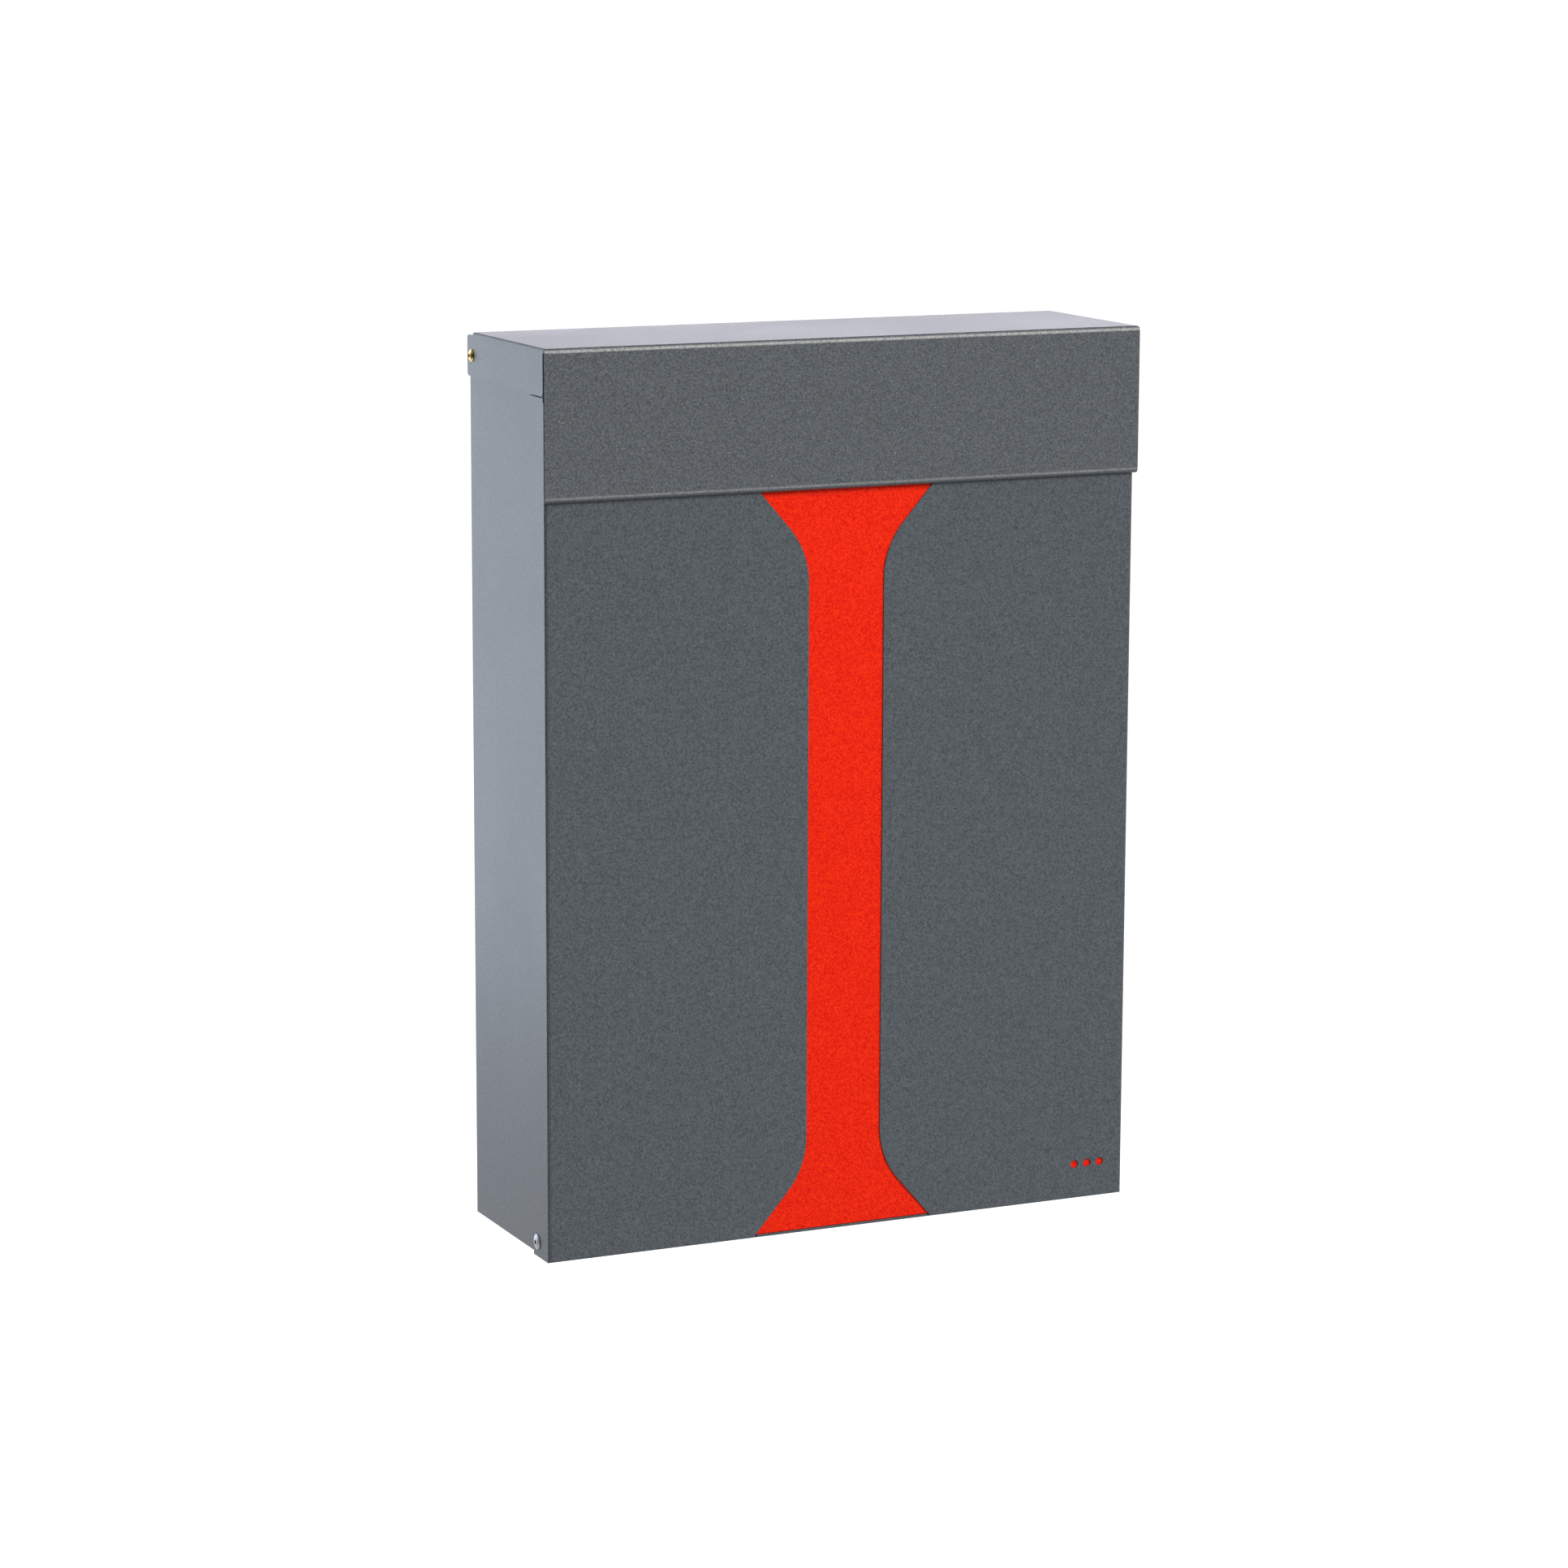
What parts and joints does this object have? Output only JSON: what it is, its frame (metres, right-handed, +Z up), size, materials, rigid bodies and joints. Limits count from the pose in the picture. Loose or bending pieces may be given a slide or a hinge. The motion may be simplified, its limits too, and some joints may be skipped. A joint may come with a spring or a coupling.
{
  "type": "letter box",
  "caption": "Wall letter box of folded sheet steel with a swing-up lid flap, a waisted cut-out over a red sheet, and a locking front door that tilts down.",
  "frame": {"origin": "on the wall, at the centre of the four fixing holes and of the box's height", "axes": "+X to the right as seen from the front, +Y into the wall, +Z up"},
  "size_m": [0.3972, 0.1301, 0.55],
  "materials": {
    "grey_paint": "satin fine-textured powder coat",
    "red_paint": "satin fine-textured powder coat",
    "spacer": "matte",
    "pad": "matte",
    "washer": "matte",
    "zinc": "bright zinc plating",
    "yellow_zinc": "yellow passivated zinc plating",
    "rivet": "plain",
    "lock_chrome": "polished"
  },
  "bodies": {
    "casing": {"casing": "grey_paint", "floor_tray": "grey_paint", "cross_rail": "grey_paint", "wall_spacers": "spacer", "lid_screw_left": "yellow_zinc", "lid_screw_right": "yellow_zinc", "lid_washer_left": "washer", "lid_washer_right": "washer", "lid_nut_left": "zinc", "lid_nut_right": "zinc", "door_rivet_left": "rivet", "door_rivet_right": "rivet", "door_washer_left": "washer", "door_washer_right": "washer"},
    "lid": {"lid": "grey_paint", "flap_pads": "pad"},
    "door": {"door_skin": "grey_paint", "door_liner": "red_paint", "liner_studs": "zinc", "liner_nuts": "zinc", "lock_housing": "lock_chrome", "lock_nut": "zinc"},
    "lock": {"lock_plug": "lock_chrome", "lock_cam": "zinc", "cam_screw": "zinc"}
  },
  "joints": [
    {"name": "lid_hinge", "type": "hinge", "parent": "casing", "child": "lid", "pos_m": [0, -0.0144, 0.261], "axis": [-1, 0, 0], "range_deg": [0, 90]},
    {"name": "door_hinge", "type": "hinge", "parent": "casing", "child": "door", "pos_m": [0, -0.1084, -0.266], "axis": [1, 0, 0], "range_deg": [0, 100]},
    {"name": "lock_turn", "type": "hinge", "parent": "door", "child": "lock", "pos_m": [0, -0.117, 0.22], "axis": [0, 1, 0], "range_deg": [0, 90]}
  ]
}
